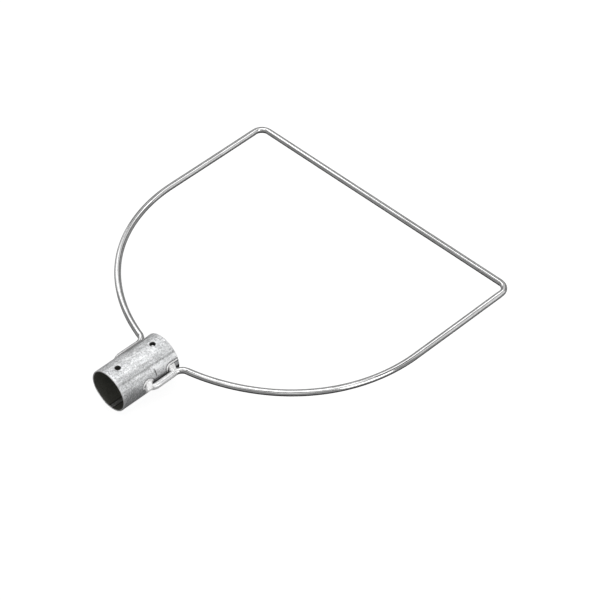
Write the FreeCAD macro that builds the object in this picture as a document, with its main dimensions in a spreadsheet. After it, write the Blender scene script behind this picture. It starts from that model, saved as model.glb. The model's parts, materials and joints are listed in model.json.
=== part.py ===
import FreeCAD, Part

# Landing-net hoop: a bent steel rod whose two ends lie along a rolled sheet-metal pole socket and
# are welded to it.
#
# Frame, in millimetres: the origin is the centre of the socket's open mouth. +Y runs along the
# socket's axis to the hoop's front bar, +X is to the right and +Z is up, the side of the two nail
# holes. The hoop's centreline lies in the plane z = 0, which holds the socket's axis.

import math
import os

import Sketcher
from FreeCAD import Placement, Rotation, Vector

DIMENSIONS = {
    # the rod, by its centreline
    "rod_diameter": 6.0,
    "hoop_reach": 330.0,            # socket mouth to front bar
    "corner_radius": 9.6,
    "front_half_width": 153.75,     # x of each side where the front corner ends
    "shoulder_half_width": 151.65,  # x of each side where the shoulder starts
    "shoulder_start": 210.3,        # y there
    "shoulder_radius": 151.5,
    "heel_start": 94.3,             # y where the shoulder gives way to the flatter heel
    "heel_radius": 176.0,
    "neck_radius": 8.8,             # bend from the heel into the straight arm beside the socket
    "arm_gap": 0.2,                 # between the arm and the socket's wall
    "arm_end": 32.6,                # y where the straight arm ends
    "tip_radius": 6.0,              # bend that turns the rod's end in to the wall
    "tip_offset": 18.3,             # x of the bent end before it is cut to the wall
    # the socket
    "socket_bore": 37.0,
    "socket_wall": 1.2,
    "socket_length": 62.0,
    "rim_fillet": 0.35,
    "nail_diameter": 4.4,
    "nail_start": 11.5,             # mouth to the first nail hole's centre
    "nail_pitch": 38.7,
    # the lap seam along the bottom, a band between two fine grooves
    "seam_offset": 1.4,             # x of the band's middle
    "seam_width": 3.4,
    "groove_width": 0.5,
    "groove_depth": 0.35,
    "groove_runout": 0.7,           # how far a groove's outline stands off the wall
    # the welds
    "weld_radius": 3.1,
    "weld_angle": 8.0,              # degrees above the hoop's plane at which a weld meets the wall
    "toe_radius": 5.4,              # the flat foot of a weld on the wall
    "toe_top_radius": 3.4,
    "toe_height": 0.7,
    "toe_root": 1.3,                # how deep the foot starts before it is cut to the wall
    "tip_weld_y": 26.6,
    "neck_weld_y": 53.3,
}
# Sizes that follow from the ones above, as spreadsheet formulas.
FORMULAS = {
    "socket_radius": "=socket_bore / 2 + socket_wall",
    "arm_offset": "=socket_bore / 2 + socket_wall + arm_gap + rod_diameter / 2",
    "left_groove": "=seam_offset - seam_width / 2 - groove_width / 2",
    "right_groove": "=seam_offset + seam_width / 2 - groove_width / 2",
    "inside_groove_floor": "=-socket_bore / 2 - groove_depth",
    "inside_groove_top": "=-socket_bore / 2 + groove_runout",
    "outside_groove_floor": "=-socket_bore / 2 - socket_wall + groove_depth",
    "outside_groove_base": "=-socket_bore / 2 - socket_wall - groove_runout",
}
SHEET = "Dimensions"
# a sketch's own origin point and axes, as its constraints name them
ORIGIN = (-1, 1)
X_AXIS = -1
Y_AXIS = -2
SMALLEST_CUT = 0.1  # cubic millimetres

doc = FreeCAD.newDocument("landing_net_hoop")


def fill_sheet():
    """Write every dimension to the spreadsheet under its own alias."""
    sheet = doc.addObject("Spreadsheet::Sheet", SHEET)
    for row, (name, value) in enumerate({**DIMENSIONS, **FORMULAS}.items(), start=1):
        sheet.set(f"A{row}", name)
        sheet.set(f"B{row}", str(value))
        sheet.setAlias(f"B{row}", name)
    doc.recompute()
    return sheet


sheet = fill_sheet()


def size(name):
    return float(getattr(sheet, name))


def bind(target, **formulas):
    """Drive properties of an object by spreadsheet formulas, such as Length="socket_length"."""
    for name, formula in formulas.items():
        words = formula.split(" ")
        cells = [f"{SHEET}.{word}" if hasattr(sheet, word) else word for word in words]
        target.setExpression(name, " ".join(cells))


def new_body(label):
    body = doc.addObject("PartDesign::Body", label)
    body.Label = label
    return body


def new_sketch(body, name, plane):
    """A sketch on one of the body's own origin planes."""
    sketch = body.newObject("Sketcher::SketchObject", name)
    support = next(item for item in body.Origin.OriginFeatures if item.Role == plane)
    sketch.AttachmentSupport = (support, "")
    sketch.MapMode = "FlatFace"
    return sketch


def dimension(sketch, kind, *where, alias):
    """Add a constraint whose value is a spreadsheet cell."""
    index = sketch.addConstraint(Sketcher.Constraint(kind, *where, size(alias)))
    sketch.setExpression(f"Constraints[{index}]", f"{SHEET}.{alias}")


def check_cut(feature, base, name):
    """A pocket that misses the solid raises no error, so its volume is compared."""
    doc.recompute()
    if base.Shape.Volume - feature.Shape.Volume < SMALLEST_CUT:
        raise RuntimeError(f"{name} cut nothing")


def circle_sketch(body, name, plane, aliases):
    """Circles about the sketch's origin, one for each radius alias."""
    sketch = new_sketch(body, name, plane)
    for alias in aliases:
        circle = Part.Circle(Vector(0, 0, 0), Vector(0, 0, 1), size(alias))
        index = sketch.addGeometry(circle, False)
        sketch.addConstraint(Sketcher.Constraint("Coincident", index, 3, *ORIGIN))
        dimension(sketch, "Radius", index, alias=alias)
    return sketch


# ---- the hoop's rod -------------------------------------------------------------------------

def direction(degrees):
    """The unit vector at an angle from +X in a sketch's plane."""
    return Vector(math.cos(math.radians(degrees)), math.sin(math.radians(degrees)), 0)


class Pen:
    """Draws a chain of tangent lines and arcs in a sketch. heading is in degrees from +X."""

    def __init__(self, sketch, start, heading):
        self.sketch = sketch
        self.point = start
        self.heading = heading
        self.last = None

    def join(self, index, start, end):
        if self.last:
            self.sketch.addConstraint(Sketcher.Constraint("Tangent", *self.last, index, start))
        self.last = (index, end)
        return index

    def line(self, length):
        end = self.point + direction(self.heading) * length
        index = self.sketch.addGeometry(Part.LineSegment(self.point, end), False)
        self.point = end
        return self.join(index, 1, 2)

    def arc(self, radius, turn):
        """turn is in degrees, positive to the left."""
        side = 1 if turn > 0 else -1
        centre = self.point + direction(self.heading + 90 * side) * radius
        first = self.heading - 90 * side
        last = first + turn
        circle = Part.Circle(centre, Vector(0, 0, 1), radius)
        ends = sorted([math.radians(first), math.radians(last)])
        index = self.sketch.addGeometry(Part.ArcOfCircle(circle, *ends), False)
        self.point = centre + direction(last) * radius
        self.heading += turn
        return self.join(index, *((1, 2) if turn > 0 else (2, 1)))


def hoop_path(body):
    """Half the rod's centreline, from the middle of the front bar to the end beside the socket."""
    sketch = new_sketch(body, "half_centreline", "XY_Plane")
    reach = size("hoop_reach")
    drop = reach - size("shoulder_start")
    lean = math.degrees(math.atan2(size("front_half_width") - size("shoulder_half_width"), drop))
    corner = size("corner_radius")
    corner_turn = 90 + lean
    front_run = size("front_half_width") - corner * math.sin(math.radians(corner_turn))
    side_drop = drop - corner * (1 - math.cos(math.radians(corner_turn)))
    # angles below are the rod's headings, in degrees from straight back along the axis
    shoulder_sine = (size("shoulder_start") - size("heel_start")) / size("shoulder_radius")
    heel_heading = math.degrees(math.asin(shoulder_sine + math.sin(math.radians(lean))))
    cosines = math.cos(math.radians(lean)) - math.cos(math.radians(heel_heading))
    heel_x = size("shoulder_half_width") - size("shoulder_radius") * cosines
    neck = size("neck_radius")
    heel = size("heel_radius")
    neck_cosine = size("arm_offset") - heel_x + heel * math.cos(math.radians(heel_heading)) + neck
    neck_heading = math.degrees(math.acos(neck_cosine / (heel + neck)))
    tip = size("tip_radius")
    tip_turn = math.degrees(math.acos(1 - (size("arm_offset") - size("tip_offset")) / tip))

    pen = Pen(sketch, Vector(0, reach, 0), 0)
    front = pen.line(front_run)
    corner_arc = pen.arc(corner, -corner_turn)
    side = pen.line(side_drop / math.cos(math.radians(lean)))
    shoulder_arc = pen.arc(size("shoulder_radius"), lean - heel_heading)
    heel_arc = pen.arc(heel, heel_heading - neck_heading)
    neck_arc = pen.arc(neck, neck_heading)
    arm = pen.line(pen.point.y - size("arm_end"))
    tip_arc = pen.arc(tip, -tip_turn)

    sketch.addConstraint(Sketcher.Constraint("PointOnObject", front, 1, Y_AXIS))
    sketch.addConstraint(Sketcher.Constraint("Horizontal", front))
    sketch.addConstraint(Sketcher.Constraint("Vertical", arm))
    dimension(sketch, "DistanceY", *ORIGIN, front, 1, alias="hoop_reach")
    dimension(sketch, "Radius", corner_arc, alias="corner_radius")
    dimension(sketch, "DistanceX", *ORIGIN, side, 1, alias="front_half_width")
    dimension(sketch, "DistanceX", *ORIGIN, side, 2, alias="shoulder_half_width")
    dimension(sketch, "DistanceY", *ORIGIN, side, 2, alias="shoulder_start")
    dimension(sketch, "Radius", shoulder_arc, alias="shoulder_radius")
    dimension(sketch, "DistanceY", *ORIGIN, heel_arc, 2, alias="heel_start")
    dimension(sketch, "Radius", heel_arc, alias="heel_radius")
    dimension(sketch, "Radius", neck_arc, alias="neck_radius")
    dimension(sketch, "DistanceX", *ORIGIN, arm, 1, alias="arm_offset")
    dimension(sketch, "DistanceY", *ORIGIN, arm, 2, alias="arm_end")
    dimension(sketch, "Radius", tip_arc, alias="tip_radius")
    dimension(sketch, "DistanceX", *ORIGIN, tip_arc, 1, alias="tip_offset")
    return sketch


def make_rod():
    body = new_body("hoop_rod")
    path = hoop_path(body)

    section = new_sketch(body, "rod_section", "YZ_Plane")
    circle = Part.Circle(Vector(size("hoop_reach"), 0, 0), Vector(0, 0, 1), size("rod_diameter") / 2)
    index = section.addGeometry(circle, False)
    section.addConstraint(Sketcher.Constraint("PointOnObject", index, 3, X_AXIS))
    dimension(section, "DistanceX", *ORIGIN, index, 3, alias="hoop_reach")
    dimension(section, "Diameter", index, alias="rod_diameter")
    doc.recompute()

    half = body.newObject("PartDesign::AdditivePipe", "half_rod")
    half.Profile = section
    half.Spine = path
    doc.recompute()

    whole = body.newObject("PartDesign::Mirrored", "both_halves")
    whole.Originals = [half]
    whole.MirrorPlane = (path, ["V_Axis"])
    whole.Refine = True
    body.Tip = whole
    doc.recompute()

    # the two bent ends are cut to the socket's wall
    envelope = circle_sketch(body, "socket_envelope", "XZ_Plane", ["socket_radius"])
    saddle = body.newObject("PartDesign::Pocket", "end_saddles")
    saddle.Profile = envelope
    bind(saddle, Length="socket_length")
    body.Tip = saddle
    check_cut(saddle, whole, "the end saddles")
    return body


# ---- the socket -----------------------------------------------------------------------------

def make_socket():
    body = new_body("socket_tube")
    ring = circle_sketch(body, "wall_section", "XZ_Plane", ["socket_radius"])
    inner = ring.addGeometry(Part.Circle(Vector(0, 0, 0), Vector(0, 0, 1), size("socket_bore") / 2), False)
    ring.addConstraint(Sketcher.Constraint("Coincident", inner, 3, *ORIGIN))
    dimension(ring, "Diameter", inner, alias="socket_bore")
    wall = body.newObject("PartDesign::Pad", "wall")
    wall.Profile = ring
    wall.Reversed = True
    bind(wall, Length="socket_length")
    doc.recompute()

    # only the outer rims are rounded, so the bore runs the full length
    rims = body.newObject("PartDesign::Fillet", "outer_rims")
    outer = [f"Edge{number}" for number, edge in enumerate(wall.Shape.Edges, start=1)
             if isinstance(edge.Curve, Part.Circle) and edge.Curve.Radius > size("socket_bore") / 2]
    rims.Base = (wall, outer)
    bind(rims, Radius="rim_fillet")
    doc.recompute()

    seam = body.newObject("PartDesign::Pocket", "seam_grooves")
    seam.Profile = seam_sketch(body)
    bind(seam, Length="socket_length")
    check_cut(seam, rims, "the seam")

    nail_sketch = new_sketch(body, "nail_hole_section", "XY_Plane")
    circle = Part.Circle(Vector(0, size("nail_start"), 0), Vector(0, 0, 1), size("nail_diameter") / 2)
    index = nail_sketch.addGeometry(circle, False)
    nail_sketch.addConstraint(Sketcher.Constraint("PointOnObject", index, 3, Y_AXIS))
    dimension(nail_sketch, "DistanceY", *ORIGIN, index, 3, alias="nail_start")
    dimension(nail_sketch, "Diameter", index, alias="nail_diameter")
    nail = body.newObject("PartDesign::Pocket", "nail_hole")
    nail.Profile = nail_sketch
    nail.Reversed = True
    bind(nail, Length="socket_bore")
    check_cut(nail, seam, "the first nail hole")

    nails = body.newObject("PartDesign::LinearPattern", "nail_holes")
    nails.Originals = [nail]
    nails.Direction = (nail_sketch, ["V_Axis"])
    nails.Occurrences = 2
    bind(nails, Length="nail_pitch")
    body.Tip = nails
    check_cut(nails, nail, "the second nail hole")
    return body


def rectangle(sketch, left, width, bottom, top):
    """A closed rectangle whose left edge, width, bottom and top are spreadsheet aliases."""
    low, high = size(bottom), size(top)
    right = size(left) + size(width)
    corners = [(size(left), low), (right, low), (right, high), (size(left), high)]
    sides = [sketch.addGeometry(Part.LineSegment(Vector(*start, 0), Vector(*end, 0)), False)
             for start, end in zip(corners, corners[1:] + corners[:1])]
    for side, following in zip(sides, sides[1:] + sides[:1]):
        sketch.addConstraint(Sketcher.Constraint("Coincident", side, 2, following, 1))
    for side, kind in zip(sides, ("Horizontal", "Vertical", "Horizontal", "Vertical")):
        sketch.addConstraint(Sketcher.Constraint(kind, side))
    dimension(sketch, "DistanceX", *ORIGIN, sides[0], 1, alias=left)
    dimension(sketch, "DistanceX", sides[0], 1, sides[0], 2, alias=width)
    dimension(sketch, "DistanceY", *ORIGIN, sides[0], 1, alias=bottom)
    dimension(sketch, "DistanceY", *ORIGIN, sides[2], 1, alias=top)


def seam_sketch(body):
    """Three slots in the bottom of the wall: two inside, at the band's edges, and one outside."""
    sketch = new_sketch(body, "seam_section", "XZ_Plane")
    rectangle(sketch, "left_groove", "groove_width", "inside_groove_floor", "inside_groove_top")
    rectangle(sketch, "right_groove", "groove_width", "inside_groove_floor", "inside_groove_top")
    rectangle(sketch, "left_groove", "groove_width", "outside_groove_base", "outside_groove_floor")
    return sketch


# ---- the welds ------------------------------------------------------------------------------

def make_weld(label, y, rod):
    """A stub of weld metal from the arm's upper side up to the wall, with a flat foot on the wall."""
    angle = math.radians(size("weld_angle"))
    wall_point = Vector(math.cos(angle), 0, math.sin(angle)) * size("socket_radius")
    arm_point = Vector(size("arm_offset"), 0, 0)
    station = Vector(0, y, 0)

    stub = doc.addObject("Part::Cylinder", f"{label}_stub")
    bind(stub, Radius="weld_radius", Height="rod_diameter")
    inward = (wall_point - arm_point).normalize()
    stub.Placement = Placement(station + arm_point, Rotation(Vector(0, 0, 1), inward))

    foot = doc.addObject("Part::Cone", f"{label}_foot")
    bind(foot, Radius1="toe_radius", Radius2="toe_top_radius", Height="toe_root + toe_height")
    outward = Vector(math.cos(angle), 0, math.sin(angle))
    foot.Placement = Placement(station + wall_point - outward * size("toe_root"),
                               Rotation(Vector(0, 0, 1), outward))

    metal = doc.addObject("Part::Fuse", f"{label}_metal")
    metal.Base = stub
    metal.Tool = foot

    above = doc.addObject("Part::Box", f"{label}_above")
    bind(above, Length="socket_bore", Width="socket_bore", Height="socket_bore")
    above.Placement.Base = station + Vector(0, -size("socket_bore") / 2, 0)
    upper = doc.addObject("Part::Common", f"{label}_upper")
    upper.Base = metal
    upper.Tool = above

    envelope = doc.addObject("Part::Cylinder", f"{label}_envelope")
    bind(envelope, Radius="socket_radius", Height="socket_length")
    envelope.Placement.Rotation = Rotation(Vector(0, 0, 1), Vector(0, 1, 0))
    on_wall = doc.addObject("Part::Cut", f"{label}_on_wall")
    on_wall.Base = upper
    on_wall.Tool = envelope

    weld = doc.addObject("Part::Cut", label)
    weld.Label = label
    weld.Base = on_wall
    weld.Tool = rod
    return weld


def mirror_weld(label, source):
    weld = doc.addObject("Part::Mirroring", label)
    weld.Label = label
    weld.Source = source
    weld.Normal = Vector(1, 0, 0)
    return weld


# ---- build, check and export ----------------------------------------------------------------

rod = make_rod()
socket = make_socket()
subparts = [rod, socket]
for place in ("tip", "neck"):
    right = make_weld(f"{place}_weld_right", size(f"{place}_weld_y"), rod)
    subparts += [right, mirror_weld(f"{place}_weld_left", right)]
doc.recompute()

for item in doc.Objects:
    if "Invalid" in item.State or "Error" in item.State:
        raise RuntimeError(f"{item.Label} failed: {item.State}")
os.makedirs("parts", exist_ok=True)
for subpart in subparts:
    shape = subpart.Shape
    if shape.isNull() or not shape.isValid() or len(shape.Solids) != 1:
        raise RuntimeError(f"{subpart.Label} is not one valid solid")
for subpart in subparts:
    subpart.Shape.exportStep(f"parts/{subpart.Label}.step")
    box = subpart.Shape.BoundBox
    print(f"{subpart.Label}: {subpart.Shape.Volume:.1f} mm3, x {box.XMin:.2f} to {box.XMax:.2f}, "
          f"y {box.YMin:.2f} to {box.YMax:.2f}, z {box.ZMin:.2f} to {box.ZMax:.2f}")
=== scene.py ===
"""Looks of a landing-net hoop: a bright steel rod bent to a flat-fronted loop, its two ends welded
along a rolled galvanised pole socket. Lengths are in millimetres until the meshes are written."""

import json
import math

import bmesh
import bpy
from mathutils import Matrix, Vector, noise


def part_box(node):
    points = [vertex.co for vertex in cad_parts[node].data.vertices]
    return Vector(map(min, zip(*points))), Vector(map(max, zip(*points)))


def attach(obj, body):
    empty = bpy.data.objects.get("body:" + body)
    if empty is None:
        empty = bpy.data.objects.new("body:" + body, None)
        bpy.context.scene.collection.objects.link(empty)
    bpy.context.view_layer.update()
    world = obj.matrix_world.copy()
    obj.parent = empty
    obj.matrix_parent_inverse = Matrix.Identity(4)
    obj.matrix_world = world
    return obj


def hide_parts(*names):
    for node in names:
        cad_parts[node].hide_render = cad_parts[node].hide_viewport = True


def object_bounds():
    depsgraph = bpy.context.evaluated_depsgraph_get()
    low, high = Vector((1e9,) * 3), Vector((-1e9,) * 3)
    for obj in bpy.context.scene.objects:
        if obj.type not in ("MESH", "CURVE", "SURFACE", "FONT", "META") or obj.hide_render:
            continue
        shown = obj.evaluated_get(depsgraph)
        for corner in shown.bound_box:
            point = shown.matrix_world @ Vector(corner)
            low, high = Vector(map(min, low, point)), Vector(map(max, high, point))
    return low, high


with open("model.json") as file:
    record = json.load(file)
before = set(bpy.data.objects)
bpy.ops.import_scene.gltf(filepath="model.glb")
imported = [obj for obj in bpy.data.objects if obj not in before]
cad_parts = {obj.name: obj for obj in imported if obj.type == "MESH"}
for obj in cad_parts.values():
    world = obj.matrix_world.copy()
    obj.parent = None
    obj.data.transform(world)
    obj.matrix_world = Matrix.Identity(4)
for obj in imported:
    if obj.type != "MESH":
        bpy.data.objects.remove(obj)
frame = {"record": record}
cad_low, cad_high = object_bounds()

MM = 0.001
Y, Z = Vector((0, 1, 0)), Vector((0, 0, 1))

# ---- sizes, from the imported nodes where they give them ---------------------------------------

_, rod_high = (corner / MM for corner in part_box("hoop_rod"))
_, socket_high = (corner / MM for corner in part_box("socket_tube"))

ROD_RADIUS = rod_high.z
HOOP_REACH = rod_high.y - ROD_RADIUS        # from the socket's mouth to the front bar's centreline
FRONT_HALF_WIDTH = rod_high.x - ROD_RADIUS
CORNER_RADIUS = 9.6
SHOULDER_HALF_WIDTH = 151.65                # the hoop's half width where the shoulders begin
SHOULDER_START = 210.3
SHOULDER_RADIUS = 151.5
HEEL_START = 94.3
HEEL_RADIUS = 176.0
NECK_RADIUS = 8.8
ARM_END = 32.6                              # where an arm begins to turn in to the wall
TIP_RADIUS = 6.0
TIP_OFFSET = 18.3                           # how far from the socket's axis the turned-in end stops

SOCKET_RADIUS = socket_high.x
SOCKET_LENGTH = socket_high.y
BORE_RADIUS = frame["record"]["mounts"][0]["dims"]["r_mm"]
RIM_ROUNDING = 0.5
BORE_ROUNDING = 0.3
ARM_GAP = 0.2
ARM_OFFSET = SOCKET_RADIUS + ARM_GAP + ROD_RADIUS
NAIL_RADIUS = 2.2
NAIL_START = 11.5
NAIL_PITCH = 38.7
NAIL_PLACES = (NAIL_START, NAIL_START + NAIL_PITCH)
NAIL_EDGE = 0.18  # the rounded edge of a punched hole


def node_middle(name):
    low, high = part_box(name)
    return (low + high) / (2 * MM)


TIP_WELD_Y = node_middle("tip_weld_right").y
NECK_WELD_Y = node_middle("neck_weld_right").y


def smoothstep(low, high, value):
    share = min(1.0, max(0.0, (value - low) / (high - low)))
    return share * share * (3 - 2 * share)


def bell(distance, width):
    return math.exp(-(distance / width) ** 2)


def fade(value, end, width):
    """1 below the end, and 0 from a width above it."""
    return 1 - smoothstep(end, end + width, value)


def on_wall(y, angle, radius):
    turn = math.radians(angle)
    return Vector((radius * math.cos(turn), y, radius * math.sin(turn)))


def signed(angle):
    """The same angle in degrees between -180 and 180."""
    return (angle + 180) % 360 - 180


def arc_above_arm(angle):
    """Length around the outer wall from the nearer arm's side of it, positive above the hoop's plane."""
    folded = signed(angle)
    if abs(folded) > 90:
        folded = math.copysign(180, folded) - folded
    return math.radians(folded) * SOCKET_RADIUS


# ---- meshes ----------------------------------------------------------------------------------

SHARP_ANGLE = math.radians(40)


def new_piece(name, points, faces, material, sharp=SHARP_ANGLE, **attributes):
    """An object from points in millimetres, smooth but for edges sharper than an angle."""
    mesh = bpy.data.meshes.new(name)
    mesh.from_pydata([Vector(point) * MM for point in points], [], faces)
    for title, values in attributes.items():
        vector = not isinstance(values[0], float)
        layer = mesh.attributes.new(title, "FLOAT_VECTOR" if vector else "FLOAT", "POINT")
        flat = [number for value in values for number in value] if vector else values
        layer.data.foreach_set("vector" if vector else "value", flat)
    shape = bmesh.new()
    shape.from_mesh(mesh)
    bmesh.ops.recalc_face_normals(shape, faces=shape.faces)
    for face in shape.faces:
        face.smooth = True
    for edge in shape.edges:
        edge.smooth = edge.calc_face_angle(0.0) < sharp
    shape.to_mesh(mesh)
    shape.free()
    piece = bpy.data.objects.new(name, mesh)
    bpy.context.scene.collection.objects.link(piece)
    mesh.materials.append(material)
    return piece


def stand_for(piece, node):
    """The piece takes the place of a CAD node and moves with its body."""
    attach(piece, "root")
    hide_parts(node)
    return piece


# ---- the rod's centreline --------------------------------------------------------------------

LINE_STEP = 4.0
ARC_STEP = 1.2
LONG_ARC_STEP = 3.0


class Pen:
    """Walks a chain of tangent lines and arcs in the plane z = 0. heading is in degrees from +X."""

    def __init__(self, start, heading):
        self.points = [Vector(start)]
        self.headings = [heading]
        self.curvatures = [0.0]

    def add(self, point, heading, curvature):
        self.points.append(point)
        self.headings.append(heading)
        self.curvatures.append(curvature)

    def line(self, length):
        start, heading = self.points[-1], self.headings[-1]
        count = max(1, round(length / LINE_STEP))
        for step in range(1, count + 1):
            self.add(start + direction(heading) * length * step / count, heading, 0.0)

    def arc(self, radius, turn):
        """turn is in degrees, positive to the left."""
        start, heading = self.points[-1], self.headings[-1]
        side = math.copysign(1, turn)
        centre = start + direction(heading + 90 * side) * radius
        spacing = LONG_ARC_STEP if radius > 10 * ROD_RADIUS else ARC_STEP
        count = max(2, round(radius * math.radians(abs(turn)) / spacing))
        for step in range(1, count + 1):
            here = heading + turn * step / count
            self.add(centre - direction(here + 90 * side) * radius, here, side / radius)


def direction(degrees):
    return Vector((math.cos(math.radians(degrees)), math.sin(math.radians(degrees)), 0))


def half_centreline():
    """From the middle of the front bar to the end beside the socket, on the right."""
    drop = HOOP_REACH - SHOULDER_START
    lean = math.degrees(math.atan2(FRONT_HALF_WIDTH - SHOULDER_HALF_WIDTH, drop))
    corner_turn = 90 + lean
    front_run = FRONT_HALF_WIDTH - CORNER_RADIUS * math.sin(math.radians(corner_turn))
    side_drop = drop - CORNER_RADIUS * (1 - math.cos(math.radians(corner_turn)))
    shoulder_sine = (SHOULDER_START - HEEL_START) / SHOULDER_RADIUS
    heel_heading = math.degrees(math.asin(shoulder_sine + math.sin(math.radians(lean))))
    cosines = math.cos(math.radians(lean)) - math.cos(math.radians(heel_heading))
    heel_x = SHOULDER_HALF_WIDTH - SHOULDER_RADIUS * cosines
    heel_centre = heel_x - HEEL_RADIUS * math.cos(math.radians(heel_heading))
    neck_cosine = (ARM_OFFSET - heel_centre + NECK_RADIUS) / (HEEL_RADIUS + NECK_RADIUS)
    neck_heading = math.degrees(math.acos(neck_cosine))
    tip_turn = math.degrees(math.acos(1 - (ARM_OFFSET - TIP_OFFSET) / TIP_RADIUS))

    pen = Pen((0, HOOP_REACH, 0), 0)
    pen.line(front_run)
    pen.arc(CORNER_RADIUS, -corner_turn)
    pen.line(side_drop / math.cos(math.radians(lean)))
    pen.arc(SHOULDER_RADIUS, lean - heel_heading)
    pen.arc(HEEL_RADIUS, heel_heading - neck_heading)
    pen.arc(NECK_RADIUS, neck_heading)
    pen.line(pen.points[-1].y - ARM_END)
    pen.arc(TIP_RADIUS, -tip_turn)
    return pen


# ---- the rod ---------------------------------------------------------------------------------

ROD_SIDES = 36
ROD_WAVE = 0.25        # how far the bent rod leaves its plane
ROD_WAVE_LENGTH = 70.0
ROD_DENT = 0.025       # unevenness of its surface
ROD_DENT_LENGTH = 6.0
ROD_DENT_SCALE = 1.7
BEND_SQUEEZE = 0.22    # loss of thickness across a bend, per ratio of rod radius to bend radius
LEFT_FROST = 0.5       # the left arm kept less of the zinc that dulls the right one
FROST_END = NECK_WELD_Y - 2
FROST_FADE = 6.0       # over which the arms' dull zinc gives way to the bright rod
ROD_GAP_SHADE = 2.0         # how far from the wall the arms carry painted shade, on the right
LEFT_ROD_GAP_SHADE = 2.8
ROD_GAP_SHADE_FADE = 0.8
GAP_SHADE_END = SOCKET_LENGTH - 4
GAP_SHADE_END_FADE = 4.0


def meet_wall(point, along):
    """Where a line from the point crosses the socket's outer wall."""
    a = along.x ** 2 + along.z ** 2
    b = point.x * along.x + point.z * along.z
    c = point.x ** 2 + point.z ** 2 - SOCKET_RADIUS ** 2
    root = math.sqrt(max(0.0, b * b - a * c))
    return point + along * min((-b - root) / a, (-b + root) / a, key=abs)


def rod_frost(point):
    """The dull zinc on the arms, 0 to 1."""
    return fade(point.y, FROST_END, FROST_FADE) * (1.0 if point.x > 0 else LEFT_FROST)


def rod_soot(point):
    """Painted shade on the arms where they face the wall, 0 to 1."""
    gap = math.hypot(point.x, point.z) - SOCKET_RADIUS
    reach = ROD_GAP_SHADE if point.x > 0 else LEFT_ROD_GAP_SHADE
    return fade(gap, reach, ROD_GAP_SHADE_FADE) * fade(point.y, GAP_SHADE_END, GAP_SHADE_END_FADE)


def rod_ring(middle, heading, bend, travelled):
    """One ring of the rod: its points, and where each is in the rod's own straight frame."""
    across = direction(heading + 90)
    free = smoothstep(SOCKET_LENGTH, 2 * SOCKET_LENGTH, middle.y)
    lift = ROD_WAVE * free * noise.noise(Vector((travelled / ROD_WAVE_LENGTH, 0, 0)))
    squeeze = 1 - BEND_SQUEEZE * ROD_RADIUS * abs(bend)
    ring = []
    for side in range(ROD_SIDES):
        turn = math.tau * side / ROD_SIDES
        flat, up = math.cos(turn), math.sin(turn)
        spot = Vector((flat, up, travelled / ROD_DENT_LENGTH)) * ROD_DENT_SCALE
        radius = ROD_RADIUS + ROD_DENT * noise.noise(spot) - ROD_DENT
        point = middle + across * flat * radius * squeeze + Z * (up * radius + lift)
        ring.append((point, (flat * ROD_RADIUS, up * ROD_RADIUS, travelled)))
    return ring


def make_rod(material):
    pen = half_centreline()
    right = list(zip(pen.points, pen.headings, pen.curvatures))
    left = [(Vector((-p.x, p.y, p.z)), -heading, bend) for p, heading, bend in reversed(right[1:])]
    stops = left + right
    points, faces, grain = [], [], []
    travelled = 0.0
    previous = stops[0][0]
    for middle, heading, bend in stops:
        travelled += (middle - previous).length
        previous = middle
        for point, straightened in rod_ring(middle, heading, bend, travelled):
            points.append(point)
            grain.append(straightened)
    frost = [rod_frost(point) for point in points]
    # painted shade where the arms face the wall
    soot = [rod_soot(point) for point in points]
    for ring in range(len(stops) - 1):
        for side in range(ROD_SIDES):
            here, there = ring * ROD_SIDES, (ring + 1) * ROD_SIDES
            following = (side + 1) % ROD_SIDES
            faces.append((here + side, here + following, there + following, there + side))
    for ring in (0, len(stops) - 1):
        end = range(ring * ROD_SIDES, (ring + 1) * ROD_SIDES)
        for index in end:
            points[index] = meet_wall(points[index], direction(stops[ring][1]))
        faces.append(tuple(end))
    piece = new_piece("bent_rod", points, faces, material, grain=grain, frost=frost, soot=soot)
    return stand_for(piece, "hoop_rod")


# ---- the socket ------------------------------------------------------------------------------

WINDOW_HALF = 4.0          # half the side of the square patch of mesh around a nail hole
WINDOW_HALF_ANGLE = 12.0
WINDOW_COLUMN = 1.5        # degrees
WINDOW_COLUMNS = round(2 * WINDOW_HALF_ANGLE / WINDOW_COLUMN)
HOLE_RINGS = 6
HOLE_RING_CROWDING = 1.4   # above 1, the rings crowd towards the hole
TOP = 90.0
TURN = 360.0
WAVE_DEPTH = 0.07          # unevenness of the outer face
WAVE_SINK = 0.6            # moves it inwards, so that it is mostly hollows
WAVE_SCALE = 1.9
WAVE_LENGTH = 21.0
SEAM_ANGLES = (-93.0, -79.0)  # the edges of the rolled sheet's lap, at the bottom
SEAM_DEPTH = 0.45
SEAM_HALF_WIDTH = 0.45
LAP_STEP = 0.12
PUNCHED_DEPTH = 0.22       # how far the wall is drawn in around a punched hole, outside
PUNCHED_WIDTH = 0.8
BURR = 1.8                 # how far a punched hole's torn edge is pushed inwards
BURR_WIDTH = 0.6
BURR_CLOSING = 1.0         # and how much narrower it is there
CREASE_Y = 37.4            # a short dent across the wall between the welds
CREASE_SPAN = (4.6, 12.2)  # its ends, as lengths along the wall above the hoop's plane
CREASE_WIDTH = 0.55
CREASE_SLANT = 0.06
CREASE_DEPTH = 0.2
FOLD_START = 16.9          # a faint line along the wall where the sheet was rolled: its length
FOLD_SLANT = -0.03         # above the hoop's plane at the mouth, and its change for each mm along
FOLD_WIDTH = 0.9
FOLD_DEPTH = 0.07
FOLD_SOOT = 0.55
MOUTH_DEPTH = 26.0         # how far the mouth's lack of roundness reaches
MOUTH_SWELL = 0.45
SWELL_ANGLE, SWELL_HALF_ANGLE = 190.0, 26.0
FLAT_ANGLE, FLAT_HALF_ANGLE = 236.0, 15.0
GAP_SHADE_EDGE = 0.6           # the edges of the painted shade in the narrow gap between an arm and the wall
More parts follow.
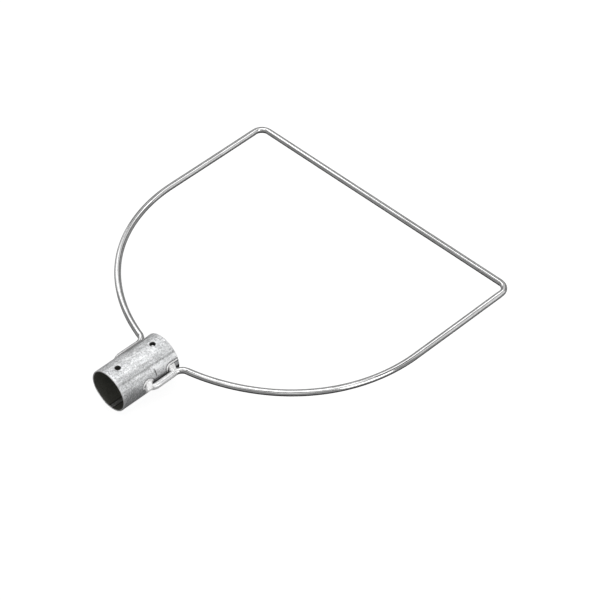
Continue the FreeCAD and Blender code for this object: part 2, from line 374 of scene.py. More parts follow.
GAP_SHADE_FADE = 0.6
END_GAP_SHADE = 1.2            # how much wider that painted shade is at the wall's far end
TOE_SHADOW = 0.8            # a painted shadow: a dark spot below the turned-in end of the rod
TOE_SHADOW_Y, TOE_SHADOW_ARC = ARM_END - 6.5, -4.5
SHADE_BAND_ANGLE = 136.0        # the middle of a dented stretch above the left arm, darkened with painted shade
SHADE_BAND_HALF_ANGLE = 10.0
SHADE_BAND_DENT = 1.15
SHADE_BAND_DARKNESS = 0.75
HOLE_SOOT_EDGE = 0.35      # the dark ring around a nail hole
HOLE_SOOT_FADE = 0.4
LAP_SOOT_WIDTH = 0.6
BURR_SOOT_FADE = 0.8
PALE_ZINC = 0.6            # how much paler the zinc is in places, and how dark the painted shade low by the mouth is
MOUTH_SHADE = 0.8
LAP_BRIGHTNESS = 0.4       # the lap is less oxidised than the rest of the inside
RIM_WEAR = 0.8             # how bright the worn rim is, and the outer face beside the mouth
MOUTH_WEAR = 0.6


def stations(breaks):
    """Positions from (start, spacing) pairs; the last pair gives only the end."""
    places = []
    for (start, spacing), (end, _) in zip(breaks, breaks[1:]):
        count = max(1, round((end - start) / spacing))
        places += [start + (end - start) * step / count for step in range(count)]
    return places + [breaks[-1][0]]


def wall_rows():
    """Places along the wall, from the mouth to the far end, closest together at the crease."""
    first, second = NAIL_PLACES
    return stations([
        (RIM_ROUNDING, 0.5), (first - WINDOW_HALF, 0.5), (first + WINDOW_HALF, 0.5),
        (CREASE_Y - 1.2, 0.2), (CREASE_Y + 1.6, 0.5), (second - WINDOW_HALF, 0.5),
        (second + WINDOW_HALF, 0.4), (SOCKET_LENGTH - RIM_ROUNDING, 0),
    ])


def wall_columns():
    """Angles around the wall, in degrees from +X, closed. They are close at the lap and the right arm."""
    return stations([
        (TOP - WINDOW_HALF_ANGLE, WINDOW_COLUMN), (TOP + WINDOW_HALF_ANGLE, WINDOW_COLUMN),
        (150, 1.2), (180, 1.5), (TURN - 98, 0.5), (TURN - 74, 1.5), (TURN - 12, 0.9), (TURN + 52, 1.5),
        (TURN + TOP - WINDOW_HALF_ANGLE, 0),
    ])[:-1]


def hole_distance(y, angle):
    """From the nearest nail hole's axis, and far away below the hoop's plane."""
    x = SOCKET_RADIUS * math.cos(math.radians(angle))
    if math.sin(math.radians(angle)) < 0:
        return SOCKET_RADIUS
    return min(math.hypot(x, y - place) for place in NAIL_PLACES)


def offset(angle, other):
    """Millimetres around the wall between two angles."""
    return math.radians(signed(angle - other)) * BORE_RADIUS


def fold_offset(y, angle):
    """Millimetres around the wall from the fold line, upwards."""
    if abs(signed(angle)) > TOP:
        return SOCKET_RADIUS
    return arc_above_arm(angle) - FOLD_START - FOLD_SLANT * y


def crease_line(y, arc):
    """1 in the middle of the short dent, 0 away from it."""
    low, high = CREASE_SPAN
    ends = smoothstep(low - 1, low + 1, arc) * fade(arc, high - 2, 3.0)
    return ends * bell(y - CREASE_Y + CREASE_SLANT * (arc - low), CREASE_WIDTH)


def mouth_swell(y, angle):
    """The worn mouth: pushed out on the left, flattened below it. Never out at the top or bottom."""
    swell = bell(signed(angle - SWELL_ANGLE), SWELL_HALF_ANGLE)
    flat = bell(signed(angle - FLAT_ANGLE), FLAT_HALF_ANGLE)
    return MOUTH_SWELL * (swell - flat) * fade(y, 0, MOUTH_DEPTH)


def shade_band(y, angle):
    """1 in the middle of the stretch above the left arm, 0 away from it."""
    along = smoothstep(ARM_END - 6, ARM_END, y) * fade(y, SOCKET_LENGTH - 7, 5.0)
    return along * bell(signed(angle - SHADE_BAND_ANGLE), SHADE_BAND_HALF_ANGLE)


def outer_relief(y, angle):
    """How far the outer face stands off its cylinder."""
    spot = Vector((math.cos(math.radians(angle)), math.sin(math.radians(angle)), y / WAVE_LENGTH))
    waves = WAVE_DEPTH * (noise.noise(spot * WAVE_SCALE) - WAVE_SINK)
    from_edge = max(0.0, hole_distance(y, angle) - NAIL_RADIUS)
    punched = -PUNCHED_DEPTH * math.exp(-from_edge / PUNCHED_WIDTH)
    crease = 0.0
    if abs(signed(angle)) < TOP:
        crease = -CREASE_DEPTH * crease_line(y, arc_above_arm(angle))
    fold = -FOLD_DEPTH * bell(fold_offset(y, angle), FOLD_WIDTH)
    seam = -SEAM_DEPTH * bell(offset(angle, SEAM_ANGLES[0]), SEAM_HALF_WIDTH)
    return waves + punched + crease + fold + seam + mouth_swell(y, angle) - SHADE_BAND_DENT * shade_band(y, angle)


def between_seams(angle):
    return SEAM_ANGLES[0] < signed(angle) < SEAM_ANGLES[1]


def inner_relief(y, angle):
    """How far the inner face stands in from its cylinder."""
    from_edge = max(0.0, hole_distance(y, angle) - NAIL_RADIUS + BURR_CLOSING)
    punched = BURR * math.exp(-from_edge / BURR_WIDTH)
    seams = sum(-SEAM_DEPTH * bell(offset(angle, seam), SEAM_HALF_WIDTH) for seam in SEAM_ANGLES)
    return punched + seams + (LAP_STEP if between_seams(angle) else 0.0) - mouth_swell(y, angle)


def arm_gap_shade(y, arc):
    """Painted shade in the narrow gap between an arm and the wall."""
    ragged = 0.3 * noise.noise(Vector((y * 0.5, arc * 0.2, 3.0)))
    corner = END_GAP_SHADE * smoothstep(NECK_WELD_Y + 2, SOCKET_LENGTH - 3, y)
    gap = fade(abs(arc), GAP_SHADE_EDGE + ragged + corner, GAP_SHADE_FADE)
    return gap * smoothstep(ARM_END - 3, ARM_END, y)


def outer_soot(y, angle):
    """Dirt, burning and painted shade on the outer face, 0 to 1."""
    arc = arc_above_arm(angle)
    # painted shade in the gap by the arm, and a painted shadow below the rod's turned-in end
    marks = [arm_gap_shade(y, arc), TOE_SHADOW * bell(y - TOE_SHADOW_Y, 2.0) * bell(arc - TOE_SHADOW_ARC, 1.6)]
    for weld in WELDS:
        marks.append(weld.outline(y, arc))
    if abs(signed(angle)) < TOP:
        patchy = 0.6 + 0.6 * noise.noise(Vector((y * 0.35, arc * 0.3, 9.0)))
        marks.append(FOLD_SOOT * patchy * bell(fold_offset(y, angle), FOLD_WIDTH))
        # painted shade in the crease
        marks.append(crease_line(y, arc))
    marks.append(fade(hole_distance(y, angle), NAIL_RADIUS + HOLE_SOOT_EDGE, HOLE_SOOT_FADE))
    cloudy = 1.0 + 0.4 * noise.noise(Vector((y * 0.12, arc * 0.12, 5.0)))
    # painted shade above the left arm
    marks.append(SHADE_BAND_DARKNESS * shade_band(y, angle) * cloudy)
    return min(1.0, max(0.0, *marks))


def zinc_tone_and_shade(y, angle):
    """Paler zinc above the right welds and below the fold, and painted shade low on the right by the mouth.
    """
    if abs(signed(angle)) > TOP:
        return 0.0
    arc = arc_above_arm(angle)
    pale = smoothstep(26, 36, y) * bell(arc - 10.5, 3.6) + 0.7 * bell(fold_offset(y, angle) + 3.0, 1.3)
    # painted shade low on the right side by the mouth
    dull = fade(y, 10, 14) * bell(arc - 3.5, 7.0)
    return PALE_ZINC * pale - MOUTH_SHADE * dull


def inner_soot(y, angle):
    """The lap's dark edges and the torn edges of the nail holes."""
    lap = max(bell(offset(angle, seam), LAP_SOOT_WIDTH) for seam in SEAM_ANGLES)
    return max(lap, fade(hole_distance(y, angle), NAIL_RADIUS, BURR_SOOT_FADE))


def wall_section():
    """The wall's closed section as (y, radius, side) from the mouth, out, along and back inside."""
    rows = wall_rows()
    quarter = [math.radians(90 * step / 5) for step in range(1, 5)]
    outer_edge = [(RIM_ROUNDING * (1 - math.cos(turn)), RIM_ROUNDING * math.sin(turn)) for turn in quarter]
    inner_edge = [(BORE_ROUNDING * (1 - math.cos(turn)), BORE_ROUNDING * math.sin(turn)) for turn in quarter]
    outer_base = SOCKET_RADIUS - RIM_ROUNDING
    inner_base = BORE_RADIUS + BORE_ROUNDING
    section = [(0.0, outer_base, "rim")]
    section += [(y, outer_base + rise, "edge") for y, rise in outer_edge]
    section += [(y, SOCKET_RADIUS, "outer") for y in rows]
    section += [(SOCKET_LENGTH - y, outer_base + rise, "edge") for y, rise in reversed(outer_edge)]
    section += [(SOCKET_LENGTH, outer_base, "rim"), (SOCKET_LENGTH, inner_base, "rim")]
    section += [(SOCKET_LENGTH - y, inner_base - rise, "edge") for y, rise in inner_edge]
    section += [(y, BORE_RADIUS, "inner") for y in reversed(rows)]
    section += [(y, inner_base - rise, "edge") for y, rise in reversed(inner_edge)]
    section += [(0.0, inner_base, "rim")]
    return section


def wall_point(y, angle, radius, side):
    if side == "inner":
        radius -= inner_relief(y, angle)
    else:
        radius += outer_relief(y, angle)
    return on_wall(y, angle, radius)


class Wall:
    """The socket's mesh: its points and faces, and what each point carries for the material."""

    def __init__(self):
        self.points, self.faces = [], []
        self.inside, self.soot, self.edge, self.tone = [], [], [], []
        self.section, self.columns = wall_section(), wall_columns()
        for y, radius, side in self.section:
            for angle in self.columns:
                self.add(y, angle, radius, side)

    def add(self, y, angle, radius, side):
        """Adds a point with the dirt, wear and painted shade there, and returns its index."""
        self.points.append(wall_point(y, angle, radius, side))
        oxide = 1 - (LAP_BRIGHTNESS if between_seams(angle) else 0.0)
        self.inside.append(oxide if side == "inner" else 0.0)
        self.soot.append(inner_soot(y, angle) if side == "inner" else outer_soot(y, angle))
        self.tone.append(zinc_tone_and_shade(y, angle))
        rim = RIM_WEAR if side in ("rim", "edge") else 0.0
        mouth = MOUTH_WEAR * fade(y, 0.6, 1.4) if side == "outer" else 0.0
        self.edge.append(max(rim, mouth))
        return len(self.points) - 1

    def at(self, row, column):
        """The index of a point of the grid."""
        return (row % len(self.section)) * len(self.columns) + column % len(self.columns)

    def row_near(self, side, place):
        """The row of one side that is nearest to a place along the wall."""
        found = [row for row, item in enumerate(self.section) if item[2] == side]
        return min(found, key=lambda row: abs(self.section[row][0] - place))

    def window(self, place):
        """The rows that bound a nail hole's square window on the outer face and on the inner face."""
        outer = (self.row_near("outer", place - WINDOW_HALF), self.row_near("outer", place + WINDOW_HALF))
        inner = (self.row_near("inner", place + WINDOW_HALF), self.row_near("inner", place - WINDOW_HALF))
        return outer, inner

    def lay_grid(self, windows):
        """Faces everywhere but in the windows."""
        skipped = {(row, column) for window in windows for low, high in window
                   for row in range(low, high) for column in range(WINDOW_COLUMNS)}
        self.faces += [
            (self.at(row, column), self.at(row, column + 1),
             self.at(row + 1, column + 1), self.at(row + 1, column))
            for row in range(len(self.section)) for column in range(len(self.columns))
            if (row, column) not in skipped]

    def hole_patch(self, place, side, low, high):
        """Rings of points from a window's square border to the round hole in it."""
        border = [(low, column) for column in range(WINDOW_COLUMNS)]
        border += [(row, WINDOW_COLUMNS) for row in range(low, high)]
        border += [(high, column) for column in range(WINDOW_COLUMNS, 0, -1)]
        border += [(row, 0) for row in range(high, low, -1)]
        if side == "inner":
            border = [(high + low - row, column) for row, column in border]
        radius = SOCKET_RADIUS if side == "outer" else BORE_RADIUS
        hole = NAIL_RADIUS + (NAIL_EDGE if side == "outer" else -BURR_CLOSING)
        patch = [[self.at(row, column) for row, column in border]]
        for ring in range(1, HOLE_RINGS + 1):
            share = 1 - (1 - ring / HOLE_RINGS) ** HOLE_RING_CROWDING
            line = []
            for row, column in border:
                y, angle = self.section[row][0], self.columns[column]
                turn = math.atan2(y - place, (TOP - angle) / WINDOW_HALF_ANGLE * WINDOW_HALF)
                edge_y = place + hole * math.sin(turn)
                edge_angle = math.degrees(math.acos(hole * math.cos(turn) / radius))
                line.append(self.add(y + (edge_y - y) * share, angle + (edge_angle - angle) * share,
                                     radius, side))
            patch.append(line)
        return patch

    def punch(self, place, outer_rows, inner_rows):
        """A nail hole in a window of both faces, with a rounded outer edge."""
        outer = self.hole_patch(place, "outer", *outer_rows)
        inner = self.hole_patch(place, "inner", *inner_rows)
        drop = []
        for index in outer[-1]:
            point = self.points[index]
            inwards = Vector((point.x, point.y - place, 0)).normalized() * NAIL_EDGE
            drop.append(self.add(place, TOP, SOCKET_RADIUS, "inner"))
            self.points[-1] = point - inwards - Z * NAIL_EDGE
        strips = list(zip(outer, outer[1:])) + list(zip(inner, inner[1:]))
        strips += [(outer[-1], drop), (drop, inner[-1])]
        for first, second in strips:
            for index in range(len(first)):
                following = (index + 1) % len(first)
                self.faces.append((first[index], first[following], second[following], second[index]))


def make_socket(material):
    wall = Wall()
    windows = [wall.window(place) for place in NAIL_PLACES]
    wall.lay_grid(windows)
    for place, window in zip(NAIL_PLACES, windows):
        wall.punch(place, *window)
    piece = new_piece("rolled_socket", wall.points, wall.faces, material,
                      inside=wall.inside, soot=wall.soot, edge=wall.edge, tone=wall.tone)
    return stand_for(piece, "socket_tube")


# ---- the welds -------------------------------------------------------------------------------

VOXEL = 0.28
STUB_LUMPS = 10
STUB_ROOT = 0.1          # where the first lump is, as a share of the way from the arm to the wall
STUB_SINK = 0.9          # how deep the foot is in the wall
LUMP_HALF_LENGTH = 1.5
STUB_HALF_THICKNESS = 2.7
STUB_THINNING = 1.1      # its loss by the foot
LEFT_STUB_THICKNESS = 0.55  # a factor: the left stubs stay below the wall's outline
STUB_SPREAD = 1.75       # between the three rows of metal that make a stub flat and wide
STUB_ROW_RADIUS = 1.7
TOE_Y = 26.1
TOE_OFFSET = 1.9
TOE_RADII = (1.9, 2.5, 2.5)
BEAD_RISE = 0.35
BEAD_SINK = 0.25         # how deep a bead's middle line is in the wall
BEAD_HALF_WIDTH = 1.0
BEAD_END_WIDTH = 0.6     # a bead's least width, as a share of its greatest
BEAD_HEAD_START = 0.12   # how far along its swelling a bead begins
BEAD_RIPPLE = 0.12
OUTLINE_REACH = 1.25     # from a bead's middle to the burnt line beside it
OUTLINE_WIDTH = 0.5
OUTLINE_SPAN = 12.0      # beyond which a weld leaves no mark
WELD_SINK = 0.7          # how deep in the wall a weld's skin may go
WELD_DENT = 0.12
WELD_DENT_SCALE = 0.8
WELD_END = SOCKET_LENGTH - 0.1


def smooth_path(places):
    """Points along a smooth line through (y, arc) places on the wall."""
    path = []
    padded = [places[0], *places, places[-1]]
    for before, start, end, after in zip(padded, padded[1:], padded[2:], padded[3:]):
        for step in range(8):
            t = step / 8
            path.append(tuple(
                0.5 * (2 * b + (c - a) * t + (2 * a - 5 * b + 4 * c - d) * t * t
                       + (3 * b - a - 3 * c + d) * t ** 3)
                for a, b, c, d in zip(before, start, end, after)))
    return path + [places[-1]]


class Weld:
    """A stub between an arm and the wall, with a flat bead that arches over its foot."""

    def __init__(self, label, middle, foot_angle, lean, bead, burn):
        self.label = label
        self.middle = middle
        self.foot_angle = foot_angle  # where the stub meets the wall, in degrees above the hoop's plane
        self.lean = lean              # how far the stub's ends stand off its middle, along the wall
        self.path = smooth_path([(middle + along, arc) for along, arc in bead])
        self.burn = burn  # how dark the line beside the bead is

    def outline(self, y, arc):
        """Dark lines on the wall along both sides of the bead, 0 to 1."""
        if not (abs(y - self.middle) < OUTLINE_SPAN and -1 < arc < OUTLINE_SPAN):
            return 0.0
        nearest = min(math.hypot(y - place, arc - height) for place, height in self.path)
        return self.burn * bell(nearest - OUTLINE_REACH, OUTLINE_WIDTH)


WELDS = (
    Weld("tip", TIP_WELD_Y, 11.0, 2.0,
         [(-4.6, 0.8), (-4.5, 3.4), (-1.8, 5.7), (2.0, 6.3), (4.8, 4.9), (6.0, 2.8)], 0.65),
    Weld("neck", NECK_WELD_Y, 14.0, 0.9,
         [(-4.9, 2.6), (-4.3, 5.5), (-1.4, 7.4), (3.2, 7.4), (7.4, 7.3)], 0.95),
)


def ellipsoid(shape, middle, radii, axes):
    """Adds an ellipsoid to a bmesh. axes are three unit vectors."""
    turned = Matrix(axes).transposed().to_4x4()
    place = Matrix.Translation(middle) @ turned @ Matrix.Diagonal((*radii, 1))
    bmesh.ops.create_uvsphere(shape, u_segments=16, v_segments=10, radius=1, matrix=place)


def heap_stub(shape, weld, thickness):
    """Three rows of molten metal side by side, from the arm up to the wall."""
    arm = Vector((ARM_OFFSET, weld.middle - weld.lean, 0))
    foot = on_wall(weld.middle + weld.lean, weld.foot_angle, SOCKET_RADIUS - STUB_SINK)
    up_the_stub = (foot - arm).normalized()
    through = up_the_stub.cross(Y).normalized()
    for step in range(STUB_LUMPS):
        share = step / (STUB_LUMPS - 1)
        centre = arm.lerp(foot, STUB_ROOT + (1 - STUB_ROOT) * share)
        half_thickness = (STUB_HALF_THICKNESS - STUB_THINNING * share) * thickness
        radii = (LUMP_HALF_LENGTH, STUB_ROW_RADIUS, half_thickness)
        for row in (-1, 0, 1):
            ellipsoid(shape, centre + Y * (row * STUB_SPREAD), radii,
                      (up_the_stub, through.cross(up_the_stub), through))


def heap_toe(shape):
    """A lump that rounds off the rod's turned-in end."""
    middle = Vector((SOCKET_RADIUS + TOE_OFFSET, TOE_Y, 0))
    ellipsoid(shape, middle, TOE_RADII, (Y.cross(Z), Y, Z))


def heap_bead(shape, path):
    """A rippled bead along a path on the wall, narrower at its ends."""
    for index, (y, arc) in enumerate(path):
        outward = on_wall(0, math.degrees(arc / SOCKET_RADIUS), 1)
        centre = outward * (SOCKET_RADIUS - BEAD_SINK) + Y * y
        share = min(1, BEAD_HEAD_START + index / (len(path) - 1))
        swell = BEAD_END_WIDTH + (1 - BEAD_END_WIDTH) * math.sin(math.pi * share) ** 0.5
        ripple = 1 + BEAD_RIPPLE * math.sin(arc * 1.3 + y * 2.6)
        half_width = BEAD_HALF_WIDTH * swell
        ellipsoid(shape, centre, ((BEAD_RISE + BEAD_SINK) * ripple, half_width, half_width),
                  (outward, Y, outward.cross(Y)))


def fused(piece):
    """The piece's overlapping lumps as one smooth skin."""
    remesh = piece.modifiers.new("remesh", "REMESH")
    remesh.mode = "VOXEL"
    remesh.voxel_size = VOXEL * MM
    smooth = piece.modifiers.new("smooth", "SMOOTH")
    smooth.iterations = 4
    smooth.factor = 0.5
    mesh = bpy.data.meshes.new_from_object(piece.evaluated_get(bpy.context.evaluated_depsgraph_get()))
    piece.modifiers.clear()
    return mesh


def make_weld(weld, side, material):
    """A weld built beside the right arm, and mirrored for the left one."""
    word = "right" if side > 0 else "left"
    shape = bmesh.new()
    heap_stub(shape, weld, 1.0 if side > 0 else LEFT_STUB_THICKNESS)
    if weld.label == "tip":
        heap_toe(shape)
    heap_bead(shape, weld.path)
    mesh = bpy.data.meshes.new(f"{weld.label}_bead_{word}")
    shape.to_mesh(mesh)
    shape.free()
    mesh.transform(Matrix.Scale(MM, 4))
    piece = bpy.data.objects.new(mesh.name, mesh)
    bpy.context.scene.collection.objects.link(piece)
    piece.data = fused(piece)
    lowest = SOCKET_RADIUS - WELD_SINK
    for vertex in piece.data.vertices:
        place = vertex.co / MM
        reach = math.hypot(place.x, place.z)
        wanted = max(lowest, reach + WELD_DENT * noise.noise(place * WELD_DENT_SCALE))
        vertex.co = Vector((place.x * wanted / reach * side, min(place.y, WELD_END),
                            place.z * wanted / reach)) * MM
    if side < 0:
        piece.data.flip_normals()
    for polygon in piece.data.polygons:
        polygon.use_smooth = True
    piece.data.materials.clear()
    piece.data.materials.append(material)
    return stand_for(piece, f"{weld.label}_weld_{word}")


def make_welds(material):
    for weld in WELDS:
        for side in (1, -1):
            make_weld(weld, side, material)


# ---- materials -------------------------------------------------------------------------------

class Finish:
    """A principled material with short calls that add nodes to it."""

    def __init__(self, name):
        self.material = bpy.data.materials.new(name)
        self.material.use_nodes = True
        self.tree = self.material.node_tree
        self.shader = self.tree.nodes["Principled BSDF"]

    def node(self, kind, inputs, output=0, **settings):
        made = self.tree.nodes.new(kind)
        for title, value in settings.items():
            setattr(made, title, value)
        for socket, value in inputs.items():
            if isinstance(value, bpy.types.NodeSocket):
                self.tree.links.new(value, made.inputs[socket])
            else:
                made.inputs[socket].default_value = value
        return made.outputs[output]

    def set(self, **inputs):
        for title, value in inputs.items():
            socket = self.shader.inputs[title.replace("_", " ")]
            if isinstance(value, bpy.types.NodeSocket):
                self.tree.links.new(value, socket)
            else:
                socket.default_value = value

    def place(self):
        """The piece's own coordinates, in metres."""
        return self.node("ShaderNodeTexCoord", {}, output=3)

    def attribute(self, title, output):
        return self.node("ShaderNodeAttribute", {}, output=output, attribute_name=title)

    def stretched(self, vector, scale):
        return self.node("ShaderNodeMapping", {"Vector": vector, "Scale": scale})

    def noise(self, vector, scale, detail=4.0, roughness=0.55, distortion=0.0):
        return self.node("ShaderNodeTexNoise", {"Vector": vector, "Scale": scale, "Detail": detail,
                                                "Roughness": roughness, "Distortion": distortion})

    def cells(self, vector, scale):
        """A colour that differs from cell to cell."""
        return self.node("ShaderNodeTexVoronoi", {"Vector": vector, "Scale": scale}, output="Color")

    def math(self, operation, first, second=0.5, clamp=False):
        return self.node("ShaderNodeMath", {0: first, 1: second}, operation=operation, use_clamp=clamp)

    def span(self, value, low, high, to_low=0.0, to_high=1.0):
        """Maps a value from one range to another and holds it there."""
        return self.node("ShaderNodeMapRange", {"Value": value, "From Min": low, "From Max": high,
                                                "To Min": to_low, "To Max": to_high})

    def blend(self, share, first, second):
        """A colour from first to second."""
        return self.node("ShaderNodeMix", {0: share, 6: first, 7: second}, output=2, data_type="RGBA")

    def relief(self, height, distance, strength=1.0, under=None):
        inputs = {"Height": height, "Distance": distance * MM, "Strength": strength}
        if under is not None:
            inputs["Normal"] = under
        return self.node("ShaderNodeBump", inputs)


def grey(level, warmth=0.0):
    return (level * (1 + warmth), level, level * (1 - warmth), 1)


# the dark colour used both for soot and for painted shade
SOOT_AND_SHADE = (0.020, 0.020, 0.018, 1)
OXIDE = (0.16, 0.16, 0.135, 1)
SHADED_BELOW = (-2.4, -0.9)  # heights between which the painted shade on a weld's underside ends


def soil_and_shade(look, colour, rough, soot):
    """Lays dirt and painted shade over a bare metal's colour and roughness, and returns those and how
    metallic it is.
    """
    colour = look.blend(soot, colour, SOOT_AND_SHADE)
    rough = look.math("ADD", rough, look.math("MULTIPLY", soot, 0.4), clamp=True)
    metallic = look.span(soot, 0.2, 0.8, 1.0, 0.2)
    return colour, rough, metallic


def rod_finish():
    """Bright drawn rod: fine lines along it, faint clouding and small dull marks; frosted arms."""
    look = Finish("bright_rod")
    grain = look.attribute("grain", "Vector")
    frost = look.attribute("frost", "Fac")
    lines = look.noise(look.stretched(grain, (1, 1, 0.02)), 5.0, detail=5.0, roughness=0.7)
    clouds = look.noise(look.stretched(grain, (1, 1, 0.5)), 0.16, detail=3.0)
    marks = look.noise(look.stretched(grain, (1, 1, 0.3)), 0.9, detail=4.0, distortion=0.6)
    dull = look.span(marks, 0.58, 0.72)
    tone = look.math("ADD", look.span(lines, 0.3, 0.7, -0.5, 0.5), look.span(clouds, 0.3, 0.7, -0.5, 0.5))
    colour = look.blend(look.span(tone, -1, 1), grey(0.58, 0.004), grey(0.93, -0.004))
    colour = look.blend(look.math("MULTIPLY", dull, 0.6), colour, grey(0.42, 0.01))
    colour = look.blend(look.math("MULTIPLY", frost, 0.6), colour, grey(0.95, -0.004))
    rough = look.math("ADD", look.span(lines, 0.3, 0.7, 0.06, 0.13), look.math("MULTIPLY", dull, 0.12))
    rough = look.math("ADD", rough, look.math("MULTIPLY", frost, 0.2))
    # the rod's dark mask here is painted shade where the arms face the wall
    colour, rough, metallic = soil_and_shade(look, colour, rough, look.attribute("soot", "Fac"))
    metallic = look.math("MULTIPLY", metallic, look.span(frost, 0.0, 1.0, 1.0, 0.62))
    look.set(Base_Color=colour, Metallic=metallic, Roughness=rough,
             Normal=look.relief(lines, 0.02, 0.6, under=look.relief(marks, 0.05, 0.25)))
    return look.material


def socket_finish():
    """Galvanised sheet: spangle, clouding, lines from the rolls, dirt, painted shade and a dark oxidised
    inside.
    """
    look = Finish("galvanised_sheet")
    place = look.place()
    inside = look.attribute("inside", "Fac")
    edge = look.attribute("edge", "Fac")
    soot = look.attribute("soot", "Fac")
    warp = look.node("ShaderNodeTexNoise", {"Vector": place, "Scale": 420.0}, output=1)
    warp = look.node("ShaderNodeVectorMath", {0: warp, "Scale": 0.0014}, operation="SCALE")
    warped = look.node("ShaderNodeVectorMath", {0: place, 1: warp}, operation="ADD")
    spangle = look.cells(warped, 430.0)
    fine = look.noise(place, 850.0, detail=3.0, roughness=0.65)
    clouds = look.noise(place, 130.0, detail=5.0, roughness=0.6)
    rolled = look.noise(look.stretched(place, (1, 0.12, 1)), 520.0, detail=4.0, roughness=0.6)
    level = look.math("ADD", look.span(spangle, 0, 1, -0.5, 0.5), look.span(clouds, 0.3, 0.7, -0.45, 0.45))
    level = look.math("ADD", level, look.span(rolled, 0.35, 0.65, -0.45, 0.45))
    level = look.math("ADD", level, look.span(fine, 0.35, 0.65, -1.15, 1.15))
    level = look.math("ADD", level, look.attribute("tone", "Fac"))
    colour = look.blend(look.span(level, -1.5, 1.5), grey(0.42, -0.014), grey(1.0, -0.010))
    stains = look.noise(look.stretched(place, (1, 0.45, 1)), 210.0, detail=5.0, roughness=0.7)
    colour = look.blend(look.span(stains, 0.56, 0.72, 0.0, 0.45), colour, grey(0.30, 0.01))
    colour = look.blend(look.math("MULTIPLY", edge, 0.8), colour, grey(0.96))
    colour = look.blend(look.math("MULTIPLY", inside, 0.93), colour, OXIDE)
    rough = look.math("ADD", look.span(level, -1, 1, 0.52, 0.38), look.math("MULTIPLY", inside, 0.2))
    # the dark mask here holds real dirt and burning, and painted shade in the gaps by the arms, below the
    # rod's end, in the crease and above the left arm
    colour, rough, metallic = soil_and_shade(look, colour, rough, soot)
    look.set(Base_Color=colour, Metallic=look.math("MULTIPLY", metallic, 0.9), Roughness=rough,
             Normal=look.relief(look.math("ADD", look.math("MULTIPLY", rolled, 0.6), fine), 0.30, 0.9,
                                under=look.relief(clouds, 0.3, 0.4)))
    return look.material


def weld_finish():
    """Bright weld metal with ripples and dull pits, and painted shade on its underside."""
    look = Finish("weld_metal")
    place = look.place()
    clouds = look.noise(place, 260.0, detail=4.0)
    pits = look.noise(place, 1200.0, detail=3.0)
    colour = look.blend(look.span(clouds, 0.3, 0.7), grey(0.82, 0.004), grey(1.0, 0.0))
    rough = look.span(pits, 0.3, 0.7, 0.36, 0.56)
    height = look.node("ShaderNodeSeparateXYZ", {0: place}, output=2)
    # painted shade: the weld is darker towards its underside
    below = look.span(height, SHADED_BELOW[0] * MM, SHADED_BELOW[1] * MM, 0.65, 0.0)
    colour, rough, metallic = soil_and_shade(look, colour, rough, below)
    look.set(Base_Color=colour, Metallic=look.math("MULTIPLY", metallic, 0.6), Roughness=rough,
             Normal=look.relief(pits, 0.06, 0.5, under=look.relief(clouds, 0.2, 0.4)))
    return look.material


# ---- the pieces ------------------------------------------------------------------------------

make_rod(rod_finish())
make_socket(socket_finish())
make_welds(weld_finish())

# ---- floor, light and camera; lengths here are in metres --------------------------------------

FLOOR_HALF = 4.0
FLOOR_GLOW = 0.9  # lifts the floor to a plain white
MIDDLE = Vector((0, 0.17, 0))  # what the lights aim at
# Each soft square light: name, power in watts, side, place.
LIGHTS = (
    ("overhead", 3.95, 0.8, (0, 0.17, 1.2)),
    ("upper_left", 1.45, 0.5, (-0.6, 0.17, 1.05)),
    ("upper_right", 0.65, 0.5, (0.6, 0.17, 1.05)),
    ("upper_back", 1.3, 0.5, (0, 0.85, 1.0)),
    ("upper_front", 0.8, 0.5, (0, -0.5, 1.0)),
    ("left", 0.83, 0.5, (-0.8, 0.3, 0.8)),
    ("right_front", 0.35, 0.5, (0.85, -0.6, 0.6)),
    ("right_back", 0.1, 0.5, (0.85, 0.85, 0.6)),
    ("low_left", 0.78, 0.6, (-1.1, 0.17, 0.4)),
    ("low_right", 2.53, 0.6, (1.1, 0.17, 0.4)),
    ("low_right_back", 0.5, 0.5, (0.9, 1.0, 0.3)),
)
# The studio's brightness by degrees above the horizon.
STUDIO_GLOW = (
    (-90, 0.0), (-60, 0.0), (-40, 0.12), (-20, 0.32), (-5, 0.23), (10, 0.42), (25, 0.0),
    (40, 0.93), (55, 0.0), (70, 0.15), (90, 0.0),
)
TARGET = Vector((36.1, 189.2, 0)) * MM
CAMERA_DISTANCE = 1.6824
CAMERA_AZIMUTH = math.radians(43.805)
CAMERA_ELEVATION = math.radians(44.744)
CAMERA_ROLL = math.radians(1.118)
FOCAL_LENGTH = 116.24


def make_floor():
    look = Finish("pale_floor")
    mottle = look.noise(look.place(), 6.0, detail=3.0)
    look.set(Base_Color=look.blend(mottle, grey(0.17), grey(0.19)), Roughness=0.9,
             Emission_Color=grey(1.0), Emission_Strength=FLOOR_GLOW)
    mesh = bpy.data.meshes.new("floor")
    corners = [(x * FLOOR_HALF, y * FLOOR_HALF, cad_low.z) for x, y in ((-1, -1), (1, -1), (1, 1), (-1, 1))]
    mesh.from_pydata(corners, [], [(0, 1, 2, 3)])
    mesh.materials.append(look.material)
    floor = bpy.data.objects.new("floor", mesh)
    bpy.context.scene.collection.objects.link(floor)
    floor.visible_glossy = False


def make_light(name, power, side, place):
    data = bpy.data.lights.new(name, "AREA")
    data.size = side
    data.energy = power
    light = bpy.data.objects.new(name, data)
    light.location = place
    light.rotation_euler = (MIDDLE - Vector(place)).to_track_quat("-Z", "Y").to_euler()
    light.visible_camera = False
    bpy.context.scene.collection.objects.link(light)


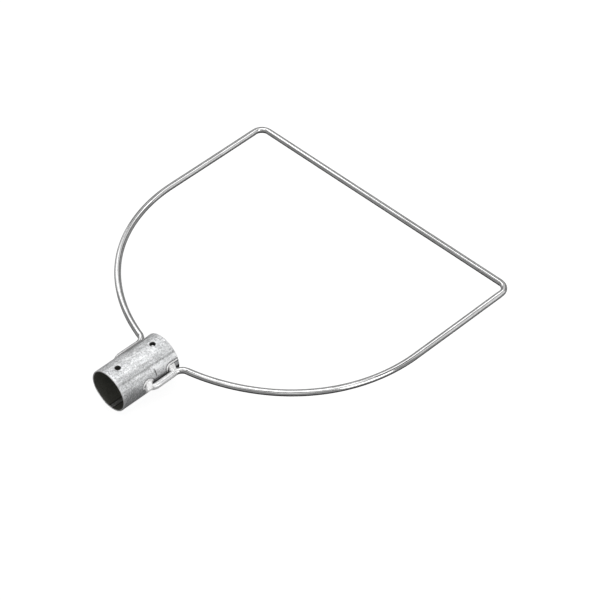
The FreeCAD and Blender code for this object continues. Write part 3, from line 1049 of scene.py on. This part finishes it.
def make_world():
    """A studio that lights by height above the horizon, and that the camera sees as plain white."""
    world = bpy.data.worlds.new("studio")
    world.use_nodes = True
    tree = world.node_tree
    nodes, links = tree.nodes, tree.links
    split = nodes.new("ShaderNodeSeparateXYZ")
    links.new(nodes.new("ShaderNodeTexCoord").outputs["Generated"], split.inputs[0])
    height = nodes.new("ShaderNodeMapRange")
    height.inputs["From Min"].default_value = -1.0
    links.new(split.outputs["Z"], height.inputs["Value"])
    ramp = nodes.new("ShaderNodeValToRGB")
    links.new(height.outputs[0], ramp.inputs[0])
    for _ in STUDIO_GLOW[2:]:
        ramp.color_ramp.elements.new(0.5)
    for stop, (degrees, level) in zip(ramp.color_ramp.elements, STUDIO_GLOW):
        stop.position = (math.sin(math.radians(degrees)) + 1) / 2
        stop.color = grey(level)
    glow = nodes["Background"]
    links.new(ramp.outputs[0], glow.inputs["Color"])
    plain = nodes.new("ShaderNodeBackground")
    plain.inputs["Color"].default_value = grey(1.0)
    chosen = nodes.new("ShaderNodeMixShader")
    links.new(nodes.new("ShaderNodeLightPath").outputs["Is Camera Ray"], chosen.inputs[0])
    links.new(glow.outputs[0], chosen.inputs[1])
    links.new(plain.outputs[0], chosen.inputs[2])
    links.new(chosen.outputs[0], nodes["World Output"].inputs["Surface"])
    bpy.context.scene.world = world


def make_camera():
    azimuth, elevation = CAMERA_AZIMUTH, CAMERA_ELEVATION
    back = Vector((math.sin(azimuth) * math.cos(elevation), -math.cos(azimuth) * math.cos(elevation),
                   math.sin(elevation)))
    right = Vector((math.cos(azimuth), math.sin(azimuth), 0))
    turned = Matrix((right, back.cross(right), back)).transposed() @ Matrix.Rotation(CAMERA_ROLL, 3, "Z")
    camera = bpy.data.objects.new("camera", bpy.data.cameras.new("camera"))
    camera.matrix_world = Matrix.Translation(TARGET + back * CAMERA_DISTANCE) @ turned.to_4x4()
    camera.data.lens = FOCAL_LENGTH
    camera.data.clip_start, camera.data.clip_end = 0.05, 20.0
    bpy.context.scene.collection.objects.link(camera)
    bpy.context.scene.camera = camera


make_floor()
make_world()
for entry in LIGHTS:
    make_light(*entry)
make_camera()
bpy.context.scene.view_settings.view_transform = "Standard"
